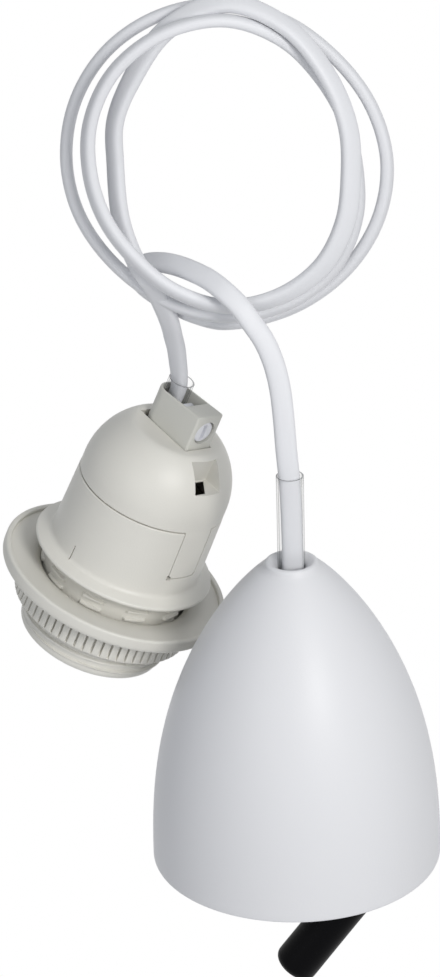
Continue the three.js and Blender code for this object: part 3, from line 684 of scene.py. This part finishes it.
def makeSkirtWall(shape):
    # flange, drafted wall and the collar that the cap sits over, all one turned section
    under, reach, fillet, foot, footRadius = pick(shape, "flangeUnder flangeRadius fillet foot footRadius")
    top, ease, radius, collar, thin = pick(shape, "top topEase topRadius collarRadius collarWall")
    edge, collarTop = shape["flangeEdge"] / 2, top + shape["collarHeight"]
    inner = shape["barrelRadius"] - shape["wall"]
    flange = arcPoints((reach - edge, under + edge), edge, -90, 62, 10)
    corner = arcPoints((footRadius + fillet, foot), fillet, 245, 180, 8)
    wall = np.stack([np.linspace(footRadius, radius, 8)[1:-1], np.linspace(foot, top, 8)[1:-1]], -1)
    profile = np.vstack([
        [(shape["barrelRadius"] - shape["flangeLap"], under)], flange, corner, wall,
        [(radius, top - ease), (radius - ease, top), (collar, top), (collar, collarTop),
         (collar - thin, collarTop), (collar - thin, top - thin), (inner, top - 2 * thin), (inner, under)]])
    piece = turnedShell("skirt_wall", profile, 192)
    half = shape["tongueWidth"] / 2 + shape["gap"]
    inside, low = shape["notchInside"], shape["tongueLow"] - shape["gap"]
    combine(piece, blockPiece("notch", (inside, -half, low), (reach, half, top + shape["notchAbove"]),
                              shape["notchRound"], 4))
    (left, below), (right, above) = shape["cornerFrom"], shape["cornerTo"]
    combine(piece, blockPiece("corner", (inside, left - half, low + below),
                              (reach, right - half, low + above)))
    half = shape["slitWidth"] / 2
    for angle in (0, math.pi):
        combine(piece, blockPiece("slit", (-half, radius - shape["slitDepth"], shape["slitLow"]),
                                  (half, reach, shape["slitHigh"]), matrix=holderTurned(angle)))
    return piece


def makeSkirt(shape):
    radius, top, half = shape["topRadius"], shape["top"], shape["nibWidth"] / 2
    nib = blockPiece("nib", (radius - shape["nibInside"], -half, top + shape["nibLow"]),
                     (radius + shape["nibOutside"], half, top + shape["nibHigh"]), shape["nibEdge"],
                     matrix=holderTurned(math.radians(shape["nibAzimuth"])))
    return joinPieces("skirt_shell", [makeBarrel(shape), makeSkirtWall(shape), nib])


holderLook = plasticLook((0.735, 0.72, 0.665), (0.65, 0.635, 0.58), toneScale=30.0, roughness=0.44,
                         grainScale=2100.0, grainStrength=0.3, markScale=110.0, markThreshold=0.7,
                         markStrength=0.22)
holderPlastic = plasticMaterial("holderPlastic", holderLook)
finishPiece(makeSkirt(skirtShape), "root", holderPlastic, "skirt")
print("skirt made")

# Cap

capShape = {
    "radius": 20.3, "wall": 1.8, "centre": 49.9, "top": 66.2, "soft": 0.3, "low": 47.3, "lowRound": 0.25,
    "recessLow": 58.2, "recessHigh": 65.3, "recessWidth": 8.8, "recessShift": -0.7, "recessFloor": 12.2,
    "recessWall": 1.3, "recessRound": 0.3, "linerInset": 0.15,
    "peepOutline": [(12.4, -4.9), (17.6, -4.9), (17.6, -1.2), (12.6, 2.6)], "peepSkin": 0.3, "peepUnder": 2.4,
    # how far each corner of the peep hole's outline moves under the skin
    "peepUndercut": [(-1, 0), (0, 0), (0, 1), (-1, 1)],
    "openingRound": 0.3, "tongueLap": 1.5, "tongueInset": 0.03, "tongueRound": 0.9,
}
gripShape = {
    "low": 58.6, "top": 76.6, "back": -9.6, "face": 8.7, "width": 9.2, "wall": 0.75, "pocketEnd": 2.7,
    "pocketCorner": 0.6, "footHeight": 1.6, "footSpread": 1.6, "edge": 0.45, "gap": 0.3, "corner": 0.6,
    # how far the pocket is widened at each depth of its rounded edge
    "pocketEdge": [(0.2, 0.0), (0.06, 0.08), (0.0, 0.25)],
    "topFall": 1.4, "screwHeight": 71.2, "headRadius": 3.1, "sink": 0.5, "headLength": 1.5, "headEdge": 0.4,
    "shank": 1.3, "shankEase": 0.2, "bore": 1.6,
    "slot": 1.3, "slotLength": 4.4, "slotDepth": 1.0, "slotEdge": 0.1,
    "shoeThickness": 1.4, "shoeHalf": 2.5, "shoeLow": 67.6, "shoeHigh": 74.0, "shoeEdge": 0.35,
}


def roundEnded(face, half, seat, corner):
    # plan outline: round about the seat at one end, square with small corners at the other
    square = np.vstack([arcPoints((face - corner, -half + corner), corner, -90, 0, 6),
                        arcPoints((face - corner, half - corner), corner, 0, 90, 6)])
    return np.vstack([square, arcPoints((seat, 0), half, 90, 270, 28)])


def gripSeat(shape):
    return shape["back"] + shape["width"] / 2


def outlineStack(name, levels, capped):
    # one plan outline for each level, joined from the lowest to the highest
    rows = [np.column_stack([outline, height + np.zeros(len(outline))]) for outline, height in levels]
    return ringedShell(name, np.stack(rows), capped, smoothAngle=38)


def domeSolid(name, shape, radius, top, low, columns):
    # a dome that runs softly into its flat top: height = -s log(e^(-dome/s) + e^(-top/s))
    dome = arcPoints((0, shape["centre"]), radius, 0, 89.9, 64)
    dome[:, 1] = -shape["soft"] * np.logaddexp(-dome[:, 1] / shape["soft"], -top / shape["soft"])
    return turnedShell(name, np.vstack([low, dome]), columns, capped=True)


def makeCap(shape, grip):
    radius, low, top, ease, inset = pick(shape, "radius low top lowRound linerInset")
    inner = radius - shape["wall"]
    foot = [(axisRadius, low), (radius - ease, low), (radius, low + ease)]
    shell = domeSolid("cap_shell", shape, radius, top, foot, 192)
    combine(shell, domeSolid("hollow", shape, inner, top - shape["wall"],
                             [(axisRadius, low - 2), (inner, low - 2)], 128))
    # a lined recess is cut into the dome
    wall, middle, width, back, floor, roof = pick(
        shape, "recessWall recessShift recessWidth recessFloor recessLow recessHigh")
    left, right = middle - width / 2, middle + width / 2
    liner = blockPiece("liner", (back - wall, left - wall, floor - wall), (radius, right + wall, roof + wall))
    combine(liner, domeSolid("full", shape, radius - inset, top - inset, foot, 128), "INTERSECT")
    combine(shell, liner, "UNION")
    combine(shell, blockPiece("recess", (back, left, floor), (radius + 4, right, roof),
                              shape["recessRound"], 4))
    # the hole is undercut at the back and at one side, so that its edge is thin
    outline, skin = np.array(shape["peepOutline"]), shape["peepSkin"]
    under = outline + shape["peepUnder"] * np.array(shape["peepUndercut"])
    levels = [(under, floor - wall - 1), (under, floor - skin), (outline, floor - skin + 0.05),
              (outline, floor + 0.6)]
    combine(shell, outlineStack("peep", levels, capped=True))
    back, face, low, top, gap = pick(grip, "back face low top gap")
    side = grip["width"] / 2 + gap
    return combine(shell, blockPiece("opening", (back - gap, -side, low), (face + gap, side, top),
                                     shape["openingRound"]))


def makeTongue(shape, skirt):
    # the cap's latch: a drafted strip of the wall that reaches down into the skirt's notch
    inset, cornerRound = shape["tongueInset"], shape["tongueRound"]
    heights = np.linspace(skirt["tongueLow"], shape["low"] + shape["tongueLap"], 20)
    share = (heights - skirt["foot"]) / (skirt["top"] - skirt["foot"])
    outer = skirt["footRadius"] + (skirt["topRadius"] - skirt["footRadius"]) * np.clip(share, 0, 1) - inset
    outer = np.where(heights > skirt["top"], shape["radius"] - inset, outer)
    inner = shape["radius"] - shape["wall"]
    corner = np.clip(1 - (heights - heights[0]) / cornerRound, 0, 1)
    half = skirt["tongueWidth"] / 2 - cornerRound * (1 - np.sqrt(np.clip(1 - corner ** 2, 0, 1)))
    side = np.linspace(-1, 1, 14)[None, :] * half[:, None]
    front, back = (np.stack([np.sqrt(radius ** 2 - side ** 2), side, heights[:, None] + 0 * side], -1)
                   for radius in (outer[:, None], inner))
    grid = np.concatenate([front, back[:, ::-1]], axis=1)
    return ringedShell("tongue", grid, capped=True, smoothAngle=38)


capPiece = joinPieces("cap_dome", [makeCap(capShape, gripShape), makeTongue(capShape, skirtShape)])
finishPiece(capPiece, "root", holderPlastic, "cap")
print("cap made")

# Cord grip, its clamp screw and shoe


def screwMatrix(shape):
    # the screw's axis, from the holder's middle out along its X
    up = Matrix.Translation((0, 0, shape["screwHeight"] * mm))
    return holderMatrix @ np.array(up @ Matrix.Rotation(math.pi / 2, 4, "Y"))


def makeGrip(shape):
    low, top, edge, face, corner = pick(shape, "low top edge face corner")
    seat, half, footLow = gripSeat(shape), shape["width"] / 2, low - shape["footHeight"]

    def outer(inset, extra=0.0):
        return roundEnded(face - inset + extra, half - inset + extra, seat, corner)

    def pocket(wider):
        return roundEnded(shape["pocketEnd"] + wider, half - shape["wall"] + wider, seat,
                          corner * shape["pocketCorner"])

    turnIn = [(edge * (1 - math.cos(a)), edge * math.sin(a)) for a in np.radians([0, 30, 60, 90])]
    spread = outer(0, shape["footSpread"])
    levels = [(spread, footLow), (spread, low), (outer(0), low)]
    levels += [(outer(inset), top - edge + rise) for inset, rise in turnIn]
    levels += [(pocket(wider), top - depth) for wider, depth in shape["pocketEdge"]]
    levels += [(pocket(0), footLow)]
    # the top falls a little towards the round end
    length = face - shape["back"]
    levels = [(outline, height - shape["topFall"] * (face - outline[:, 0]) / length
               if height > shape["screwHeight"] else height) for outline, height in levels]
    body = outlineStack("grip_block", levels, capped=False)
    sunk = face - shape["sink"] - shape["headLength"] - shape["gap"]
    for name, radius, low, high in (("head", shape["headRadius"] + shape["gap"], sunk, face + 2),
                                    ("bore", shape["bore"], 0, face)):
        profile = [(axisRadius, low), (radius, low), (radius, high), (axisRadius, high)]
        combine(body, turnedShell(name, profile, 64, capped=True, matrix=screwMatrix(shape)))
    return body


def makeClampScrew(shape, shoeFront):
    # slotted round head with a rolled edge on a plain shank, which ends just short of the shoe
    radius, length, edge, shank, ease, deep = pick(
        shape, "headRadius headLength headEdge shank shankEase slotDepth")
    low, under = shoeFront + shape["shoeThickness"] + shape["gap"], shape["face"] - shape["sink"] - length
    top = under + length
    profile = np.vstack([[(axisRadius, low), (shank - ease, low), (shank, low + ease), (shank, under),
                          (radius, under)],
                         arcPoints((radius - edge, top - edge), edge, 0, 90, 6), [(axisRadius, top)]])
    matrix = screwMatrix(shape)
    body = turnedShell("clamp_screw_head", profile, 64, capped=True, matrix=matrix)
    reach, half = shape["slotLength"] / 2, shape["slot"] / 2
    return combine(body, blockPiece("slot", (-reach, -half, top - deep), (reach, half, top + deep),
                                    shape["slotEdge"], matrix=matrix))


def makeShoe(shape, front):
    thickness, half, low, high, edge = pick(shape, "shoeThickness shoeHalf shoeLow shoeHigh shoeEdge")
    return blockPiece("clamp_shoe_pad", (front, -half, low), (front + thickness, half, high), edge)


gripPlastic = plasticMaterial("gripPlastic", plasticLook(
    (0.62, 0.615, 0.565), (0.55, 0.545, 0.5), roughness=0.46, grainStrength=0.35, markThreshold=0.68))
screwPlastic = plasticMaterial("screwPlastic", plasticLook(
    (0.77, 0.775, 0.81), (0.7, 0.705, 0.74), roughness=0.3, grainStrength=0.12, markStrength=0.1))
finishPiece(makeGrip(gripShape), "root", gripPlastic, "cord_grip")
shoeFront = gripSeat(gripShape) + sleeveShape["outer"] + gripShape["gap"]
finishPiece(makeClampScrew(gripShape, shoeFront), "root", screwPlastic, "clamp_screw")
finishPiece(makeShoe(gripShape, shoeFront), "root", screwPlastic, "clamp_shoe")
print("grip made")

# Shade ring

ringShape = {
    "bore": 20.8, "boreEase": 0.4, "holeRadius": 21.7, "holeHeight": 18.3, "holeDepth": 1.0, "holeEase": 0.25,
    "radius": 31.2, "edge": 0.6, "lipInner": 29.6, "lipTop": 19.5, "lipRound": 0.4,
    "dishEdge": 18.5, "dishEase": 0.3, "dishDrop": 0.02, "under": 15.4, "underRound": 1.6, "low": 7.0,
    "ribs": 64, "ribRadius": 24.6, "ribDepth": 1.5, "ribEnd": 0.5, "fadeLow": 1.0, "fadeHigh": 0.9,
    # places across one rib and how deep each lies: a slat and a narrow groove
    "ribSection": [(0, 0), (0.2, 0.04), (0.37, 0.12), (0.41, 1), (0.59, 1), (0.63, 0.12), (0.8, 0.04)],
}


def makeShadeRing(shape):
    # a dished flange with a raised lip over a ribbed grip
    edge, underRound, end, lipRound, lipInner, lipTop = pick(
        shape, "edge underRound ribEnd lipRound lipInner lipTop")
    ribs, low, under, dishEdge, dishEase = pick(shape, "ribRadius low under dishEdge dishEase")
    grip = upright(ribs, np.linspace(low + end, under - end, 8))
    gripEnd = arcPoints((ribs - end, low + end), end, -90, -20, 4)
    neck = arcPoints((ribs + end, under - end), end, 160, 90, 4)
    brim = arcPoints((shape["radius"] - underRound, under + underRound), underRound, -90, 0, 8)
    lip = arcPoints((shape["radius"] - edge, lipTop - edge), edge, 0, 90, 6)
    lipIn = arcPoints((lipInner + lipRound, lipTop - lipRound), lipRound, 90, 180, 5)
    hole, height, bore, ease = pick(shape, "holeRadius holeHeight bore boreEase")
    dish = np.stack([np.linspace(lipInner - dishEase, hole + dishEase, 8),
                     np.linspace(dishEdge - shape["dishDrop"], height, 8)], -1)
    inside = [(hole, height - shape["holeEase"]), (bore, height - shape["holeDepth"]), (bore, low + ease),
              (bore + ease, low)]
    profile = np.vstack([gripEnd, grip, neck, brim, lip, lipIn, [(lipInner, dishEdge)], dish, inside])
    across, groove = np.array(shape["ribSection"]).T
    angle = (np.arange(shape["ribs"])[:, None] + across).ravel() * 2 * np.pi / shape["ribs"]
    wave = np.tile(groove, shape["ribs"])
    ribbed = np.arange(len(profile)) < len(gripEnd) + len(grip) + len(neck) - 1
    shareUp = np.clip((profile[:, 1] - low) / shape["fadeLow"], 0, 1)
    shareDown = np.clip((under + 0.1 - profile[:, 1]) / shape["fadeHigh"], 0, 1)
    depth = shape["ribDepth"] * (shareUp * shareDown * ribbed)[:, None] * wave[None, :]
    grid = roundGrid(profile[:, 0, None] - depth, profile[:, 1, None], angle)
    return ringedShell("shade_ring_shell", grid, smoothAngle=40)


ringPlastic = plasticMaterial("ringPlastic", dict(
    holderLook, colour=(0.72, 0.705, 0.65), second=(0.64, 0.625, 0.57), roughness=0.47, toneScale=22.0))
finishPiece(makeShadeRing(ringShape), "shade_ring", ringPlastic, "shade_ring")
print("shade ring made")

# Inside the socket

shellShape = {"radius": 13.9, "wall": 0.5, "low": 8.0, "high": 31.6, "pitch": 3.63, "wave": 0.75, "rows": 90,
              "columns": 120}


def makeScrewShell(shape):
    # a thin tube rolled to the round lamp thread, which climbs one pitch a turn
    radius, heights = shape["radius"], np.linspace(shape["low"], shape["high"], shape["rows"])
    profile = np.vstack([upright(radius, heights), upright(radius - shape["wall"], heights[::-1])])
    angle, height = fullTurn(shape["columns"]), profile[:, 1, None]
    turn = height / shape["pitch"] - angle / (2 * np.pi)
    radius = profile[:, 0, None] + shape["wave"] * (np.cos(2 * np.pi * turn) - 1) / 2
    return ringedShell("screw_shell_thread", roundGrid(radius, height, angle), smoothAngle=50)


def metalLook(colour, second, **changes):
    return plasticLook(colour, second, metallic=1.0, roughness=0.26, roughnessDrift=0.25, grainScale=900.0,
                       grainStrength=0.15, markStrength=0.3, markColour=(0.25, 0.2, 0.12), **changes)


brass = plasticMaterial("brassPressing", metalLook((0.72, 0.53, 0.23), (0.58, 0.4, 0.16)))
steel = plasticMaterial("platedSteel", metalLook((0.6, 0.61, 0.62), (0.46, 0.47, 0.48)))
blockPlastic, corePlastic, liveWire, neutralWire = (
    plasticMaterial(name, plasticLook(colour, second, roughness=rough)) for name, colour, second, rough in (
        ("blockPlastic", (0.8, 0.78, 0.72), (0.74, 0.72, 0.66), 0.5),
        ("corePlastic", (0.78, 0.76, 0.68), (0.7, 0.68, 0.6), 0.4),
        ("liveWire", (0.15, 0.06, 0.025), (0.11, 0.045, 0.02), 0.35),
        ("neutralWire", (0.03, 0.11, 0.39), (0.02, 0.08, 0.3), 0.35)))
finishPiece(makeScrewShell(shellShape), "root", brass, "screw_shell")

# Insulated wires: the same ways as the solids, smooth and round

wireShape = {"radius": 1.1, "spacing": 2.7, "start": 63.6, "straight": 5.0, "steps": 90, "columns": 20,
             "pole": 3.8, "aboveBoot": 46.0, "inBoot": 34.0, "end": 17.2, "sideFrom": (0.31, 0.93, 0.2)}
canopyWireWay = [((8.0, -4.0, 44.0), (0.7, 0, 0.7)), ((19.0, -9.0, 33.0), (0.75, 0, 0.65)),
                 ((25.0, -13.0, 22.0), (1, 0, 0.2))]
holderWireWay = {"seat": -5.0, "top": 66.5, "bend": (-7.0, 4.0, 52.0), "turn": (-9.5, 8.5, 45.1),
                 "middle": 44.1, "ends": (-6.0, -2.5)}


def makeWire(name, route, matrix, shape):
    # a round section along a smooth curve; its side axis is square to the curve and to one fixed direction
    places = np.linspace(0, len(route) - 1, shape["steps"])
    path = placed(throughPoints(route, places, 0.5), matrix)
    tangent = unit(np.gradient(path, axis=0))
    side = unit(np.cross(tangent, np.array(shape["sideFrom"])))
    other = np.cross(tangent, side)
    angle = fullTurn(shape["columns"])[None, :, None]
    ring = np.cos(angle) * side[:, None] + np.sin(angle) * other[:, None]
    grid = path[:, None] + shape["radius"] * mm * ring
    return ringedShell(name, grid / mm, True, 60, np.eye(4))


def inBoot(point):
    boot = groupMatrix(placing["bootAt"], lean=placing["bootLean"])
    return (placed([point], boot)[0] / mm).tolist()


for wireName, side, look in (("live", -1, liveWire), ("neutral", 1, neutralWire)):
    start, pole = side * wireShape["spacing"] / 2, side * wireShape["pole"] / 2
    way = [(start, 0, wireShape["start"]), (start, 0, wireShape["start"] - wireShape["straight"])]
    way += [tuple(np.add(place, np.multiply(start, apart))) for place, apart in canopyWireWay]
    way += [inBoot((pole, 0, wireShape[height])) for height in ("aboveBoot", "inBoot", "end")]
    canopyWire = makeWire("canopy_wire_" + wireName, way, canopyMatrix, wireShape)
    finishPiece(canopyWire, "root", look, "canopy_" + wireName + "_wire")
    seat, top, bend, turn = pick(holderWireWay, "seat top bend turn")
    way = [(seat, start, top), (seat, start, top - wireShape["straight"]),
           (bend[0], side * bend[1], bend[2]), (turn[0], side * turn[1], turn[2])]
    way += [(end, side * turn[1], holderWireWay["middle"]) for end in holderWireWay["ends"]]
    holderWire = makeWire("holder_wire_" + wireName, way, holderMatrix, wireShape)
    finishPiece(holderWire, "root", look, "holder_" + wireName + "_wire")

keptLooks = {"terminal_block": blockPlastic, "socket_core": corePlastic, "centre_contact": brass}
for node in nodes:
    if node.endswith(("_terminal", "_tube")):
        keptLooks[node] = brass
    if node.endswith("_terminal_screw"):
        keptLooks[node] = steel
for node, look in keptLooks.items():
    dress(nodes[node], look)
print("inner pieces made")

# Floor, background and light

stageLook = {"floorHeight": -0.40, "floorSize": 6.0, "floorColour": (0.8, 0.8, 0.81), "floorRoughness": 0.9}
lightLook = {
    "worldColour": (0.9, 0.94, 1.0), "worldStrength": 0.34,
    "lamps": [
        # name, place, size, watts, colour
        ("keyLight", (0.55, -1.1, 0.45), 0.45, 9.5, (1.0, 0.99, 0.975)),
        ("leftFill", (-0.6, -1.1, 0.25), 0.7, 2.0, (0.97, 0.98, 1.0)),
        ("topLight", (0.3, -0.2, 1.1), 0.6, 2.5, (1.0, 1.0, 1.0)),
    ],
    "aim": (0.0, 0.0, -0.13),
}


def throughCamera(tree):
    # 1 where the camera, a mirror or a clear piece looks, 0 for the light itself
    path = tree.nodes.new("ShaderNodeLightPath")
    seen = mathNode(tree, "MAXIMUM", path.outputs["Is Camera Ray"], path.outputs["Is Glossy Ray"])
    return mathNode(tree, "MAXIMUM", seen, path.outputs["Is Transmission Ray"])


def mixShaders(tree, plain, bright, output):
    # the bright shader is what the camera sees, the plain one is what lights the set
    mix = tree.nodes.new("ShaderNodeMixShader")
    for shader, socket in zip((throughCamera(tree), plain.outputs[0], bright.outputs[0]), mix.inputs):
        tree.links.new(shader, socket)
    tree.links.new(mix.outputs[0], tree.nodes[output].inputs["Surface"])


def makeFloor(look):
    half = look["floorSize"] / 2
    corners = np.array([(-half, -half), (half, -half), (half, half), (-half, half)])
    floor = newMesh("floor", np.column_stack([corners, np.full(4, look["floorHeight"])]), [(0, 1, 2, 3)])
    material, tree, shader = newMaterial("floorWhite")
    feedAll(tree, shader, {"Base Color": (*look["floorColour"], 1), "Roughness": look["floorRoughness"]})
    mixShaders(tree, shader, tree.nodes.new("ShaderNodeEmission"), "Material Output")
    floor.data.materials.append(material)


def makeWorld(look):
    world = bpy.data.worlds.new("studio")
    bpy.context.scene.world = world
    world.use_nodes = True
    tree = world.node_tree
    soft, white = tree.nodes["Background"], tree.nodes.new("ShaderNodeBackground")
    feedAll(tree, soft, {"Color": (*look["worldColour"], 1), "Strength": look["worldStrength"]})
    feedAll(tree, white, {"Color": (1, 1, 1, 1)})
    mixShaders(tree, soft, white, "World Output")


def makeLamps(look):
    for name, place, size, watts, colour in look["lamps"]:
        data = bpy.data.lights.new(name, "AREA")
        data.shape = "DISK"
        data.size = size
        data.energy = watts
        data.color = colour
        lamp = bpy.data.objects.new(name, data)
        lamp.location = place
        lamp.rotation_euler = (Vector(look["aim"]) - Vector(place)).to_track_quat("-Z", "Y").to_euler()
        bpy.context.scene.collection.objects.link(lamp)


makeFloor(stageLook)
makeWorld(lightLook)
makeLamps(lightLook)
bpy.context.scene.view_settings.view_transform = "Standard"
print("stage made")
